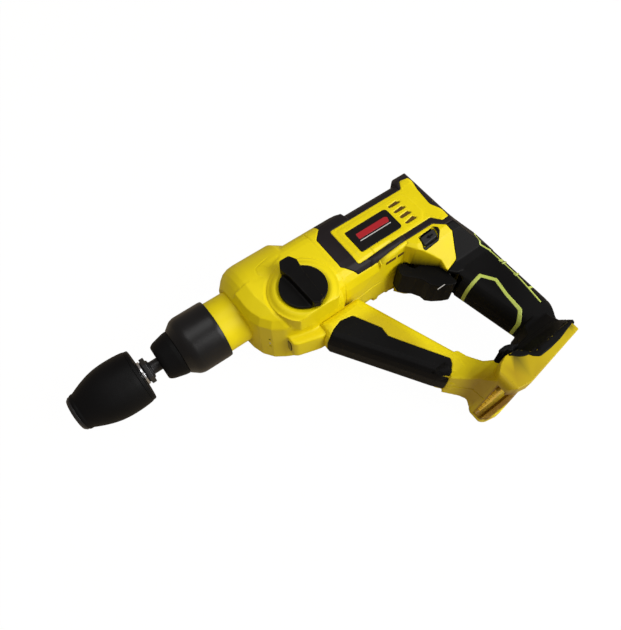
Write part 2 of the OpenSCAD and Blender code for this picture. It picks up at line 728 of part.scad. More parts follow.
module motor_end_cap() {
    color(dark) place() at_motor() difference() {
        union() { xcyl(164, 170, stator_r); xcyl(161.5, 165, 11); }
        xcyl(161, 167, 8);
        xcyl(166, 169, 5);
        for (a = [0 : 60 : 300]) rotate([a, 0, 0]) translate([160, 15, 0]) xcyl(0, 20, 2.6);
    }
}

// ---- switch, trigger and lever ----
trigger_top = -44;
trigger_half = 12.5;
module trigger_side() {
    rounded(1.6) polygon([[142, trigger_top], [140.2, -50], [140, -53], [143.2, -57], [148, -61.5], [151.5, -67.5], [152, -72.3], [156, -76.3], [163, -80.8], [168.5, -83.3], [171, -82.5], [171, -54], [152.5, -54], [150, -50], [149.5, trigger_top]]);
}
module trigger() {
    color(dark) place() union() {
        intersection() {
            zprism(-trigger_half, trigger_half) trigger_side();
            xprism(120, 180) rounded(5.5) polygon([[-40, -trigger_half], [-40, trigger_half], [-95, trigger_half], [-95, -trigger_half]]);
        }
        // stem that runs into the switch
        translate([170.5, -62, -3]) cube([4, 8, 6]);
    }
}
module trigger_pocket() {
    zprism(-trigger_half - gap, trigger_half + gap) union() {
        for (t = [0 : 3]) translate([trigger_pull * t / 3, 0]) offset(delta = gap) trigger_side();
    }
    translate([0, -70, 0]) xcyl(170, 179, 3.4);
    translate([170, -62 - gap, -3 - gap]) cube([6 + trigger_pull, 8 + 2 * gap, 6 + 2 * gap]);
}
module trigger_spring() { color(steel) place() translate([0, -70, 0]) coil(171.1, 7.6, 2.6, 0.45, 5); }
module switch_body() { color(dark) place() switch_shape(); }
module switch_shape() {
    difference() {
        union() {
            translate([183, -82, -9]) cube([17.5, 30, 18]);
            translate([178.8, -78, -6.5]) cube([5, 24, 13]);
        }
        translate([170, -62 - gap, -3 - gap]) cube([6.5 + trigger_pull, 8 + 2 * gap, 6 + 2 * gap]);
    }
}
module lever_side(d) { offset(delta = d) rounded(1.6) polygon([[161, -43.5], [176, -42.5], [174, -50.5], [159, -51.5]]); }
module lever_slot(d) { zprism(-45, 45) lever_side(d); }

// ---- foot ----
module terminal_block() { color(dark) place() terminal_shape(); }
module terminal_shape() {
    translate([174, foot_low + 8, -20]) cube([15, 11, 40]);
}
module direction_lever() { color(dark) place() zprism(-33, 33) lever_side(0); }

// ---- shank adapter and chuck ----
chuck_rear = -63.5;
chuck_front = chuck_rear - chuck_len;
function cx(t) = chuck_front + t * chuck_len / 49;  // a place along the chuck
jaw_r = 2.6;
tip_r = jaw_open + 1.6;
module adapter_shank() {
    color(dark) place() difference() {
        union() {
            xcyl(-56, -8, shank_r);
            xcyl(-60.5, -57, 10.3, 6);
            xcyl(-61.3, -60.4, 8);
            xcyl(-57.1, -55.8, 7);
            xcyl(-78, -61.2, 6.35);
        }
        // closed grooves for the balls, open grooves for the drive
        for (a = [0, 180]) rotate([a, 0, 0]) translate([-24.9, 6.95, 0]) xcyl(0, 15.8, ball_r + 0.35);
        for (a = [90, 270]) rotate([a, 0, 0]) translate([-40, shank_r - 1.2, -1.3]) cube([33, 3, 2.6]);
    }
}
module shank_washer() { color(steel) place() xtube(-63.3, -61.3, 6.35, 9.2); }
// a cylinder that leans towards the axis, at angle a round it
module leaning(a, r, x0, x1) {
    rotate([a, 0, 0]) translate([chuck_front, tip_r, 0]) rotate([0, 0, jaw_lean]) xcyl(x0, x1, r, 36);
}
module chuck_body() {
    color(steel) place() difference() {
        xturn([[0, chuck_front - 3], [12, chuck_front - 3], [13.2, chuck_front - 1.6], [13.2, chuck_front - 0.4], [12.4, chuck_front - 0.4], [12.5, cx(0.5)],
            [14.8, cx(8.5)], [17.4, cx(18)], [chuck_r - 2.8, cx(19.5)], [chuck_r - 2.8, chuck_rear - 2.5], [0, chuck_rear - 2.5]]);
        xcyl(chuck_front - 4, -84, jaw_open - 0.1);
        xcyl(-78, -60, 6.35);
        for (a = [0, 120, 240]) leaning(a, jaw_r + 0.35, -6, 26);
        xtube(cx(21) - gap, cx(21) + 5 + gap, 15.9 - gap, 24);
    }
}
module chuck_back() { color(rubber) place() xtube(chuck_rear - 2.5, chuck_rear, 6.35, chuck_r - 1.2); }
module chuck_sleeve() {
    f = chuck_front;
    o = chuck_r;
    color(rubber) place() difference() {
        xturn([[12.9, f], [o - 8.1, f - 0.1], [o - 7.8, cx(1.2)], [o - 7.9, cx(2.4)], [o - 6.4, cx(5.5)], [o - 4.2, cx(10.5)], [o - 2.1, cx(16.5)], [o - 0.8, cx(22)],
            [o, cx(29)], [o, cx(37)], [o - 0.5, cx(43)], [o - 1, cx(45.6)], [o - 1.7, chuck_rear - 2.9], [o - 2.4, chuck_rear - 2.9], [o - 2.4, cx(19.1)], [17.8, cx(17.8)], [15.2, cx(8.3)]]);
    }
}
module chuck_nut() { color(brass) place() xtube(cx(21), cx(21) + 5, 15.9, chuck_r - 2.4); }
module jaw(a) {
    color(steel) place() difference() {
        leaning(a, jaw_r, 0, 20);
        rotate([a, 0, 0]) translate([chuck_front - 20, jaw_open - 10, -5]) cube([60, 10, 10]);
        rotate([a, 0, 0]) translate([chuck_front - 20, -5, -5]) cube([20, 30, 10]);
    }
}
module jaw_a() { jaw(0); }
module jaw_b() { jaw(120); }
module jaw_c() { jaw(240); }

gear_cover();
neck_tube();
left_housing();
right_housing();
left_band();
right_band();
left_grip();
right_grip();
rear_pads();
left_accent();
right_accent();
strut_pad();
left_plate();
right_plate();
mode_knob();
knob_seal();
spindle();
dust_cap();
locking_sleeve();
lock_ring();
sleeve_spring();
lock_ball_upper();
lock_ball_lower();
neck_bearing();
mid_plate();
spindle_rear_bearing();
spindle_gear();
impact_bolt();
striker();
piston();
wobble_ring();
wobble_hub();
inter_shaft();
inter_gear();
inter_front_bearing();
inter_rear_bearing();
gear_plate();
rotor_shaft();
rotor_core();
fan();
stator();
motor_front_bearing();
motor_rear_bearing();
motor_end_cap();
switch_body();
trigger();
trigger_spring();
direction_lever();
terminal_block();
case_screws();
lamp_window();
adapter_shank();
shank_washer();
chuck_body();
chuck_back();
chuck_sleeve();
chuck_nut();
jaw_a();
jaw_b();
jaw_c();
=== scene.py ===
"""Cordless rotary hammer with its keyless chuck, lying on its side: visual model in the row frame, in metres."""
import json
import math

import bmesh
import bpy
import numpy as np
from mathutils import Matrix, Vector
from mathutils.bvhtree import BVHTree


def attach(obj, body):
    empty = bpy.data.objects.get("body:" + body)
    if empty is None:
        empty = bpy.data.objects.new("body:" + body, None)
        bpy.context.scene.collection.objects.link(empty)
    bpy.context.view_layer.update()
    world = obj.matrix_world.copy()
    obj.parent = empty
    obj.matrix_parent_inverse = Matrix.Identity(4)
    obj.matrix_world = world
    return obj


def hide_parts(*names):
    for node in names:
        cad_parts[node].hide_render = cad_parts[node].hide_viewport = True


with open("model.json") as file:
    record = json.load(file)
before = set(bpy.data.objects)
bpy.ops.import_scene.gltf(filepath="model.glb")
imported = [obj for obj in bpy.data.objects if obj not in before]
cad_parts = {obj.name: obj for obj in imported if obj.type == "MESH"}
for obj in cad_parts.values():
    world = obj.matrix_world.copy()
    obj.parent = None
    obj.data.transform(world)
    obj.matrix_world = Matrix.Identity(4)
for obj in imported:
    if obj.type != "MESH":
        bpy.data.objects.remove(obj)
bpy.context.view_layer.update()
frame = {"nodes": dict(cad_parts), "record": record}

# ---- frame of the tool ----
# The spindle's axis runs along X through AXIS, with the tool's left side facing up.
# Lengths below are in millimetres from that axis and from the locking sleeve's rear rim.
MM = 0.001
AXIS = Vector((-51.25, 70.5, 38.0)) * MM


def at(x, y, z):
    """A point of the tool, in metres."""
    return AXIS + Vector((x, y, z)) * MM


# ---- camera and light ----
# A pale studio sweep with one broad soft light from the right and a weak fill,
# so the satin mouldings show long highlights and hardly any shadow.
camera_data = bpy.data.cameras.new("camera")
camera_data.lens = 29.714
camera_data.sensor_width = 36.0
camera_data.clip_start = 0.01
camera = bpy.data.objects.new("camera", camera_data)
azimuth, elevation = math.radians(-36.24), math.radians(61.95)
back = Vector((math.sin(azimuth) * math.cos(elevation), -math.cos(azimuth) * math.cos(elevation), math.sin(elevation)))
right = Vector((math.cos(azimuth), math.sin(azimuth), 0.0))
facing_back = Matrix((right, back.cross(right), back)).transposed().to_4x4()
camera.matrix_world = Matrix.Translation(at(-47.2, -187.0, 357.2)) @ facing_back
bpy.context.collection.objects.link(camera)
bpy.context.scene.camera = camera
bpy.context.scene.view_settings.view_transform = "Standard"


def area_light(name, place, aim, width, power):
    """A square soft light that looks from place to aim."""
    data = bpy.data.lights.new(name, "AREA")
    data.shape = "RECTANGLE"
    data.size = data.size_y = width
    data.energy = power
    lamp = bpy.data.objects.new(name, data)
    place, aim = Vector(place), Vector(aim)
    lamp.matrix_world = Matrix.Translation(place) @ (aim - place).to_track_quat("-Z", "Y").to_matrix().to_4x4()
    bpy.context.collection.objects.link(lamp)


area_light("key", place=(1.05, -1.25, 1.30), aim=(0.0, 0.0, 0.03), width=1.4, power=42.0)
area_light("fill", place=(-0.05, 0.10, 0.62), aim=(-0.03, 0.06, 0.03), width=0.3, power=0.7)


def wire(tree, links):
    for source, target in links:
        tree.links.new(source, target)


# Warm, weak light from all round. The background itself shows as white.
world = bpy.data.worlds.new("studio")
bpy.context.scene.world = world
world.use_nodes = True
nodes = world.node_tree.nodes
nodes.clear()
path, world_out = nodes.new("ShaderNodeLightPath"), nodes.new("ShaderNodeOutputWorld")
soft, plain = nodes.new("ShaderNodeBackground"), nodes.new("ShaderNodeBackground")
choose = nodes.new("ShaderNodeMixShader")
soft.inputs["Color"].default_value = (1.0, 0.88, 0.80, 1.0)
soft.inputs["Strength"].default_value = 0.30
plain.inputs["Color"].default_value = (1.0, 1.0, 1.0, 1.0)
wire(world.node_tree, [
    (path.outputs["Is Camera Ray"], choose.inputs[0]),
    (soft.outputs[0], choose.inputs[1]),
    (plain.outputs[0], choose.inputs[2]),
    (choose.outputs[0], world_out.inputs[0]),
])

# The sweep: a large round sheet just under the tool, bright enough to read as white, with a
# trace of the tool's shadow.
sheet = bmesh.new()
just_under = Matrix.Translation((0.0, 0.0, -0.0004))
bmesh.ops.create_circle(sheet, cap_ends=True, segments=96, radius=3.0, matrix=just_under)
floor_mesh = bpy.data.meshes.new("floor")
sheet.to_mesh(floor_mesh)
sheet.free()
floor = bpy.data.objects.new("floor", floor_mesh)
bpy.context.collection.objects.link(floor)
paper = bpy.data.materials.new("paper")
paper.use_nodes = True
nodes = paper.node_tree.nodes
nodes.clear()
path, paper_out = nodes.new("ShaderNodeLightPath"), nodes.new("ShaderNodeOutputMaterial")
matt, bright = nodes.new("ShaderNodeBsdfDiffuse"), nodes.new("ShaderNodeEmission")
choose, share = nodes.new("ShaderNodeMixShader"), nodes.new("ShaderNodeMath")
matt.inputs["Color"].default_value = (0.52, 0.44, 0.33, 1.0)
bright.inputs["Strength"].default_value = 1.03
share.operation = "MULTIPLY"
share.inputs[1].default_value = 0.96
wire(paper.node_tree, [
    (path.outputs["Is Camera Ray"], share.inputs[0]),
    (share.outputs[0], choose.inputs[0]),
    (matt.outputs[0], choose.inputs[1]),
    (bright.outputs[0], choose.inputs[2]),
    (choose.outputs[0], paper_out.inputs[0]),
])
floor_mesh.materials.append(paper)


# ---- gear cover ----
# The front half of the gearcase, moulded in glass-filled nylon with a satin yellow skin. Round the
# selector it has a smooth raised ring with a shallow trough on its outer side, and a small framed
# pointer field ahead of it. A thin web closes the cover over the front bearing's seat.
def calc(tree, operation, a, b, clamp=False):
    node = tree.nodes.new("ShaderNodeMath")
    node.operation = operation
    node.use_clamp = clamp
    for socket, value in zip(node.inputs, (a, b)):
        if isinstance(value, (int, float)):
            socket.default_value = value
        else:
            tree.links.new(value, socket)
    return node.outputs[0]


def noise(tree, vector, scale, detail, roughness=0.5):
    node = tree.nodes.new("ShaderNodeTexNoise")
    node.inputs["Detail"].default_value = detail
    node.inputs["Roughness"].default_value = roughness
    if isinstance(scale, (int, float)):
        node.inputs["Scale"].default_value = scale
    else:
        tree.links.new(scale, node.inputs["Scale"])
    tree.links.new(vector, node.inputs["Vector"])
    return node.outputs["Fac"]


def spread(tree, value, low, high, out_low=0.0, out_high=1.0):
    node = tree.nodes.new("ShaderNodeMapRange")
    for label, number in (("From Min", low), ("From Max", high), ("To Min", out_low), ("To Max", out_high)):
        node.inputs[label].default_value = number
    tree.links.new(value, node.inputs["Value"])
    return node.outputs["Result"]


def mix_color(tree, factor, a, b):
    node = tree.nodes.new("ShaderNodeMix")
    node.data_type = "RGBA"
    tree.links.new(factor, node.inputs[0])
    for socket, value in ((node.inputs[6], a), (node.inputs[7], b)):
        if isinstance(value, tuple):
            socket.default_value = value
        else:
            tree.links.new(value, socket)
    return node.outputs[2]


# The effects that every material shares: fine mould grain, slow tone changes, faint rub marks, and
# wear that gathers on outer edges through the "edge" attribute that each rebuilt piece carries.
surface = bpy.data.node_groups.new("used_surface", "ShaderNodeTree")
surface.interface.new_socket(name="Vector", in_out="INPUT", socket_type="NodeSocketVector")
surface.interface.new_socket(name="Grain Scale", in_out="INPUT", socket_type="NodeSocketFloat").default_value = 2200.0
for label in ("Grain", "Tone", "Wear", "Marks"):
    surface.interface.new_socket(name=label, in_out="OUTPUT", socket_type="NodeSocketFloat")
inlet, outlet = surface.nodes.new("NodeGroupInput"), surface.nodes.new("NodeGroupOutput")
vector = inlet.outputs["Vector"]
stretch, edge = surface.nodes.new("ShaderNodeMapping"), surface.nodes.new("ShaderNodeAttribute")
stretch.inputs["Rotation"].default_value = (0.3, 0.5, 0.7)
stretch.inputs["Scale"].default_value = (1.0, 14.0, 9.0)
edge.attribute_name = "edge"
patchy = spread(surface, noise(surface, vector, 210.0, 4.0, 0.65), 0.42, 0.62)
wire(surface, [
    (vector, stretch.inputs["Vector"]),
    (noise(surface, vector, inlet.outputs["Grain Scale"], 3.0, 0.6), outlet.inputs["Grain"]),
    (noise(surface, vector, 24.0, 3.0), outlet.inputs["Tone"]),
    (calc(surface, "MULTIPLY", edge.outputs["Fac"], patchy, clamp=True), outlet.inputs["Wear"]),
    (spread(surface, noise(surface, stretch.outputs[0], 60.0, 4.0, 0.7), 0.62, 0.75), outlet.inputs["Marks"]),
])


def coat(name, color, worn_color, rough, rough_span, grain, depth, metal=0.0, clear=0.0, shine=0.5,
         tone_span=0.08, painted_shade=()):
    """A used, moulded or machined surface. Its colour drifts by tone_span, its edges wear to worn_color, its bump is
    grain of that scale and depth, and each (attribute, tint) pair paints a zone in that tint as painted shade."""
    material = bpy.data.materials.new(name)
    material.use_nodes = True
    tree = material.node_tree
    shader = tree.nodes["Principled BSDF"]
    coordinates, effect, bump = [tree.nodes.new("ShaderNode" + kind) for kind in ("TexCoord", "Group", "Bump")]
    effect.node_tree = surface
    effect.inputs["Grain Scale"].default_value = grain
    tone, marks = effect.outputs["Tone"], effect.outputs["Marks"]
    low, high = [tuple(min(1.0, c * (1.0 + s)) for c in color) + (1.0,) for s in (-tone_span, tone_span)]
    used = mix_color(tree, spread(tree, tone, 0.35, 0.65), low, high)
    used = mix_color(tree, calc(tree, "MULTIPLY", effect.outputs["Wear"], 0.5), used, worn_color + (1.0,))
    for label, tint in painted_shade:
        zone = tree.nodes.new("ShaderNodeAttribute")
        zone.attribute_name = label
        amount = calc(tree, "MULTIPLY", zone.outputs["Fac"], spread(tree, tone, 0.3, 0.7, 0.85, 1.0))
        used = mix_color(tree, amount, used, tint + (1.0,))
    dull = spread(tree, tone, 0.3, 0.7, rough - rough_span / 2, rough + rough_span / 2)
    rubbed = calc(tree, "MULTIPLY", marks, -0.35 * rough_span)
    relief = calc(tree, "ADD", effect.outputs["Grain"], calc(tree, "MULTIPLY", marks, -0.5))
    bump.inputs["Strength"].default_value = 1.0
    bump.inputs["Distance"].default_value = depth * MM
    shader.inputs["Metallic"].default_value = metal
    shader.inputs["Coat Weight"].default_value = clear
    shader.inputs["Specular IOR Level"].default_value = shine
    wire(tree, [
        (coordinates.outputs["Object"], effect.inputs["Vector"]),
        (used, shader.inputs["Base Color"]),
        (calc(tree, "ADD", dull, rubbed), shader.inputs["Roughness"]),
        (relief, bump.inputs["Height"]),
        (bump.outputs["Normal"], shader.inputs["Normal"]),
    ])
    return material


# The yellow's zone tints are painted shade: dimmer on the foot and strut, brown in the foot's hollows and mouth, near
# black in pockets.
YELLOW = coat("yellow_moulding", (0.80, 0.655, 0.003), (0.84, 0.74, 0.06), rough=0.42, rough_span=0.10, grain=2600.0,
              depth=0.012, shine=0.22, tone_span=0.04, painted_shade=[
                  ("shade", (0.56, 0.43, 0.004)), ("painted_hollow_shade", (0.40, 0.27, 0.006)),
                  ("painted_mouth_shade", (0.20, 0.10, 0.006)), ("painted_pocket_shade", (0.008, 0.008, 0.008))])
EDGE_GAIN, EDGE_FLOOR = 4.0, 0.15


def finish_mesh(mesh, material, zones=()):
    """One material, smooth faces, and the edge attribute: 1 on outer edges, 0 on flats and in corners.
    Each zone (attribute, centre, full, reach) fills an attribute round a place, fading from full to reach."""
    form = bmesh.new()
    form.from_mesh(mesh)
    edge_layer = form.verts.layers.float.new("edge")
    form.normal_update()
    for vert in form.verts:
        others = [link.other_vert(vert).co for link in vert.link_edges]
        if others:
            bend = sum((vert.co - other).normalized().dot(vert.normal) for other in others) / len(others)
            vert[edge_layer] = min(1.0, max(0.0, bend * EDGE_GAIN - EDGE_FLOOR))
    for face in form.faces:
        face.smooth = True
        face.material_index = 0
    for label, centre, full, reach in zones:
        layer = form.verts.layers.float.get(label) or form.verts.layers.float.new(label)
        for vert in form.verts:
            away = vert.co - at(*centre)
            far = max((abs(away[k]) - full[k] * MM) / (reach[k] * MM) for k in range(3))
            t = min(1.0, max(0.0, 1.0 - far))
            vert[layer] = max(vert[layer], t * t * (3.0 - 2.0 * t))
    form.to_mesh(mesh)
    form.free()
    mesh.materials.clear()
    mesh.materials.append(material)


def add_piece(name, form, material, body, slot, *nodes, zones=()):
    """A bmesh or mesh as a piece that rides on a body and stands for CAD nodes. Its slot is not used."""
    if isinstance(form, bmesh.types.BMesh):
        mesh = bpy.data.meshes.new(name)
        form.to_mesh(mesh)
        form.free()
    else:
        mesh = form
    finish_mesh(mesh, material, zones)
    piece = bpy.data.objects.new(name, mesh)
    bpy.context.collection.objects.link(piece)
    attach(piece, body)
    if nodes:
        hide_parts(*nodes)
    return piece


def soft_step(t):
    t = np.clip(t, 0.0, 1.0)
    return t * t * (3.0 - 2.0 * t)


def to_run(xy, a, b):
    """How far each point lies from the run between a and b."""
    run = b - a
    t = np.clip((xy - a) @ run / (run @ run), 0.0, 1.0)
    return np.linalg.norm(xy - a - t[:, None] * run, axis=1)


def ring_bead(centre, radius, half_width, height, facing=None):
    """Height of a rounded ring. With facing, it fades away on the side that faces away from that direction."""
    def height_at(xy):
        arm = xy - np.array(centre)
        reach = np.linalg.norm(arm, axis=1)
        bead = height * soft_step(1.0 - np.abs(reach - radius) / half_width)
        if facing is None:
            return bead
        aim = np.array(facing) / np.linalg.norm(facing)
        return bead * soft_step((arm @ aim) / np.maximum(reach, 0.01) * 1.2 + 0.6)
    return height_at


def seam_line(points, half_width, height):
    """Height along an open run of points: a thin ridge, or a groove when negative."""
    corners = np.array(points, dtype=float)

    def height_at(xy):
        nearest = np.min([to_run(xy, a, b) for a, b in zip(corners, corners[1:])], axis=0)
        return height * soft_step(1.0 - nearest / half_width)
    return height_at


def press(mesh, reliefs, side):
    """Moves the skin of one side up or down beyond RELIEF_LEVEL, as the mould's own relief does."""
    place, normal = np.empty(len(mesh.vertices) * 3), np.empty(len(mesh.vertices) * 3)
    mesh.vertices.foreach_get("co", place)
    mesh.vertices.foreach_get("normal", normal)
    place, normal = place.reshape(-1, 3), normal.reshape(-1, 3)
    local = (place - np.array(AXIS)) / MM
    chosen = (local[:, 2] * side > RELIEF_LEVEL) & (normal[:, 2] * side > 0.25)
    for relief in reliefs:
        place[chosen, 2] += relief(local[chosen, :2]) * side * MM
    mesh.vertices.foreach_set("co", place.ravel())
    mesh.update()


RELIEF_LEVEL = 24.0
# A factor on every cell size.
COARSER = 1.0


def moulded(name, node, material, body, slot, cell, passes, keep=0.5, reliefs=(), side=1, zones=(), fill=(), softer=None):
    """A copy of a CAD solid, resampled in cells and relaxed, so that its edges take the small radius of a
    mould, with the mould's shallow relief pressed in, and thinned to the share keep. fill closes a gap
    with the hull of some points, and softer (test, passes) relaxes one region more."""
    mesh = bpy.data.meshes.new(name + "_draft")
    form = bmesh.new()
    form.from_mesh(frame["nodes"][node].data)
    bmesh.ops.remove_doubles(form, verts=form.verts, dist=0.01 * MM)
    if fill:
        bmesh.ops.convex_hull(form, input=[form.verts.new(point) for point in fill])
    form.to_mesh(mesh)
    form.free()
    draft = bpy.data.objects.new(name + "_draft", mesh)
    bpy.context.collection.objects.link(draft)

    def applied():
        result = bpy.data.meshes.new_from_object(draft.evaluated_get(bpy.context.evaluated_depsgraph_get()))
        draft.modifiers.clear()
        used, draft.data = draft.data, result
        bpy.data.meshes.remove(used)
        return result

    def relaxed(iterations, region=""):
        relax = draft.modifiers.new("relax", "SMOOTH")
        relax.factor, relax.iterations, relax.vertex_group = 0.5, iterations, region
    resample = draft.modifiers.new("resample", "REMESH")
    resample.mode = "VOXEL"
    resample.voxel_size = cell * MM * COARSER
    relaxed(passes)
    fine = applied()
    if softer:
        local = np.array([(vert.co - AXIS) / MM for vert in fine.vertices])
        chosen = [int(k) for k in np.nonzero(softer[0](local))[0]]
        draft.vertex_groups.new(name="softer").add(chosen, 1.0, "REPLACE")
        relaxed(softer[1], "softer")
        fine = applied()
        draft.vertex_groups.clear()
    if reliefs:
        press(fine, reliefs, side)
    draft.modifiers.new("thin", "DECIMATE").ratio = keep
    result = applied()
    result.name = name
    bpy.data.objects.remove(draft)
    return add_piece(name, result, material, body, slot, node, zones=zones)


def over(*pieces):
    """A search tree of the skins of some objects."""
    verts, faces = [], []
    for piece in pieces:
        start = len(verts)
        verts += [v.co.copy() for v in piece.data.vertices]
        faces += [[start + i for i in face.vertices] for face in piece.data.polygons]
    return BVHTree.FromPolygons(verts, faces)


KNOB = (62.5, -28.5)
SHAFT_Y = -30.0
WEB_LIMIT = at(34.0, 0.0, 0.0).x
cover_skin = over(frame["nodes"]["gear_cover"])
web = []
for reach in (4.4, 5.2, 8.6, 9.6):
    for angle in range(-135, -44, 15):
        y, z = SHAFT_Y + reach * math.sin(math.radians(angle)), reach * math.cos(math.radians(angle))
        hit = cover_skin.ray_cast(at(-5.0, y, z), Vector((1.0, 0.0, 0.0)))[0]
        if hit and hit.x < WEB_LIMIT:
            web += [hit, hit + Vector((1.0 * MM, 0.0, 0.0))]


def lower_flank(p):
    return (p[:, 1] < -37.0) & (p[:, 0] < 62.0) & (p[:, 2] < 30.0) & (p[:, 2] > -30.0)


cover_shell = moulded("gear_cover_shell", "gear_cover", YELLOW, "housing_group", "housing", cell=0.5, passes=5,
                      keep=0.33, fill=web, softer=(lower_flank, 60), reliefs=[
                          ring_bead(KNOB, radius=20.6, half_width=4.2, height=1.3),
                          ring_bead(KNOB, radius=26.0, half_width=3.4, height=-1.5, facing=(-1.0, -0.6)),
                          seam_line([(44.5, -2.0), (42.8, 3.0), (44.5, 7.5), (57.5, 10.8)], half_width=0.9, height=-0.35)])

# ---- front bearing ----
# A ground steel ring in the cover's seat, behind the web, that carries the intermediate shaft. Its
# outer corner is cut to a wide chamfer, so that it clears the web.
STEEL = coat("ground_steel", (0.62, 0.63, 0.65), (0.75, 0.75, 0.76), rough=0.24, rough_span=0.14,
              grain=900.0, depth=0.006, metal=1.0)


def softened(points, steps=5):
    """(a, b, radius) corners of a closed outline, with each corner rounded and a support point beside it."""
    out = []
    for k, (a, b, radius) in enumerate(points):
        here = Vector((a, b))
        if radius == 0:
            out.append(here)
            continue
        before, after = Vector(points[k - 1][:2]) - here, Vector(points[(k + 1) % len(points)][:2]) - here
        radius = min(radius, 0.4 * before.length, 0.4 * after.length)
        before, after = before.normalized() * radius, after.normalized() * radius
        out.append(here + before * 1.12)
        for step in range(steps + 1):
            t = step / steps
            out.append(here + before * (1 - t) ** 2 + after * t ** 2)
        out.append(here + after * 1.12)
    return out


def turned(name, profile, material, body, slot, *nodes, y=0.0, steps=144):
    """A solid of revolution about an axis along X at height y. The profile gives (along, radius, fillet)."""
    form = bmesh.new()
    ring = [form.verts.new(at(a, y + b, 0.0)) for a, b in softened(profile)]
    edges = [form.edges.new((ring[k - 1], ring[k])) for k in range(len(ring))]
    bmesh.ops.spin(form, geom=ring + edges, cent=at(0.0, y, 0.0), axis=(1.0, 0.0, 0.0), dvec=(0.0, 0.0, 0.0),
                   angle=2 * math.pi, steps=steps, use_merge=True, use_duplicate=False)
    bmesh.ops.remove_doubles(form, verts=form.verts, dist=0.001 * MM)
    bmesh.ops.recalc_face_normals(form, faces=form.faces)
    return add_piece(name, form, material, body, slot, *nodes)


turned("front_bearing", [(26.2, 4.3, 0.1), (26.2, 4.9, 0.2), (30.3, 7.9, 0.3), (31.0, 7.9, 0.1), (31.0, 4.3, 0.1)],
       STEEL, "housing_group", "steel", "inter_front_bearing", y=SHAFT_Y)

# ---- neck ----
# The plain round collar in front of the gear cover, which a side handle clamps on. It is turned from
# the same yellow nylon and pressed into the cover.
turned("neck_collar_tube", [(0.0, 19.05, 0.3), (0.0, 21.3, 0.6), (19.9, 21.3, 0.2), (19.9, 19.05, 0.2)],
       YELLOW, "housing_group", "housing", "neck_tube")

# ---- housings ----
# Left and right clamshells: motor case, handle, foot and strut in one yellow moulding each. The side panel has a
# shallow field for the label and four sunk vents, and painted shade darkens the foot, the strut, the foot's hollows and
# mouth, and the trigger's pocket.
FIELD = [(113.2, -3.5), (115.0, -1.8), (176.0, -1.8), (180.0, -8.0),
         (180.0, -26.0), (174.0, -32.4), (115.5, -32.4), (113.2, -30.0)]
VENTS = [
    [(160.7, -6.4), (169.6, -5.6), (171.5, -8.4), (160.8, -8.2)],
    [(161.0, -13.0), (170.0, -12.2), (171.6, -15.0), (161.2, -14.9)],
    [(161.6, -19.3), (170.5, -18.5), (172.0, -21.4), (161.8, -21.3)],
    [(161.4, -26.3), (170.5, -24.6), (172.2, -27.6), (161.8, -27.8)],
]
# Zones as (attribute, centre, full, reach), all painted shade: dimmer on the foot and the strut, browner in the foot's
# hollows and mouth, and near black in the trigger's pocket and behind the foot's black edge.
PAINTED_SHADE_ZONES = [
    ("shade", (160, -160, 38), (60, 22, 14), (20, 14, 10)),
    ("shade", (75, -100, 30), (30, 30, 30), (12, 12, 12)),
    ("painted_hollow_shade", (124, -155, 4), (4, 3, 20), (13, 11, 22)),
    ("painted_mouth_shade", (150, -168, 0), (30, 5, 29.7), (1.0, 1.0, 1.0)),
    ("painted_hollow_shade", (135, -166, 30), (1, 1, 9), (34, 12, 12)),
    ("painted_pocket_shade", (172, -68, 0), (24, 19, 15.5), (0.7, 0.7, 0.7)),
    ("painted_pocket_shade", (176, -155.5, 36), (20, 4.5, 6), (0.7, 0.7, 0.7)),
    ("painted_pocket_shade", (152, -152, 36), (7, 4.0, 6), (0.7, 0.7, 0.7)),
]


def raised(outline, height, ramp):
    """Height of a plateau over a flat outline, with its flank ramp wide. A negative height sinks it."""
    corners = np.array(outline, dtype=float)

    def height_at(xy):
        nearest, inside = np.full(len(xy), 1e9), np.zeros(len(xy), dtype=bool)
        for a, b in zip(corners, np.roll(corners, -1, axis=0)):
            nearest = np.minimum(nearest, to_run(xy, a, b))
            crosses = (a[1] > xy[:, 1]) != (b[1] > xy[:, 1])
            with np.errstate(divide="ignore", invalid="ignore"):
                inside ^= crosses & (xy[:, 0] < (b - a)[0] * (xy[:, 1] - a[1]) / (b - a)[1] + a[0])
        return height * soft_step(np.where(inside, nearest, -nearest) / ramp + 0.5)
    return height_at


panel_relief = [raised(FIELD, height=0.3, ramp=0.9)] + [raised(vent, height=-1.5, ramp=0.6) for vent in VENTS]
left_shell = moulded("left_shell", "left_housing", YELLOW, "housing_group", "housing",
                     cell=0.55, passes=2, keep=0.26, reliefs=panel_relief, zones=PAINTED_SHADE_ZONES)
moulded("right_shell", "right_housing", YELLOW, "housing_group", "housing",
        cell=0.75, passes=2, keep=0.4, reliefs=panel_relief, side=-1, zones=PAINTED_SHADE_ZONES)


def draw_out(form, move):
    """Draws all faces of a form out by move, and turns the faces of the solid outward."""
    far = bmesh.ops.extrude_face_region(form, geom=form.faces[:])
    for item in far["geom"]:
        if isinstance(item, bmesh.types.BMVert):
            item.co += Vector(move) * MM
    bmesh.ops.recalc_face_normals(form, faces=form.faces)


# Heights above every piece, and about level with the left side's skin.
CLEAR_HEIGHT, SKIN_HEIGHT = 70.0, 30.0


